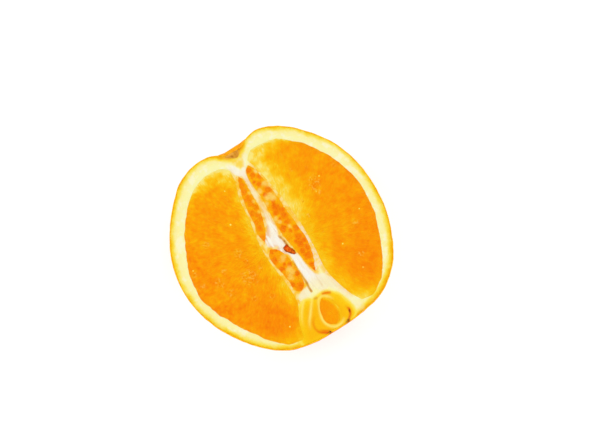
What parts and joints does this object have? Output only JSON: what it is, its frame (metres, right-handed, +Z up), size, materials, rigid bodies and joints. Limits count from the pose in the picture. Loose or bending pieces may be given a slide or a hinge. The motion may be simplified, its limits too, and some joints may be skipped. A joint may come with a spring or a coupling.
{
  "type": "halved orange",
  "caption": "Half of a navel orange cut lengthwise, lying on its peel with the juicy cut face up.",
  "frame": {"origin": "middle of the object's box, at the bottom: on the plane that the half rests on, under the middle of the cut face", "axes": "+Z up, square to the cut face; +Y towards the stem end, along the line from navel to stem; +X to the right of the core as seen from above"},
  "size_m": [0.0804, 0.0794, 0.0403],
  "materials": {
    "orange_flesh": "pebbled orange peel with a waxy sheen, cream pith and wet orange pulp on the cut",
    "dry_stem": "dry brown stem button, matt and fibrous"
  },
  "bodies": {
    "root": {"half_orange": "orange_flesh", "stem_button": "dry_stem"}
  },
  "joints": []
}
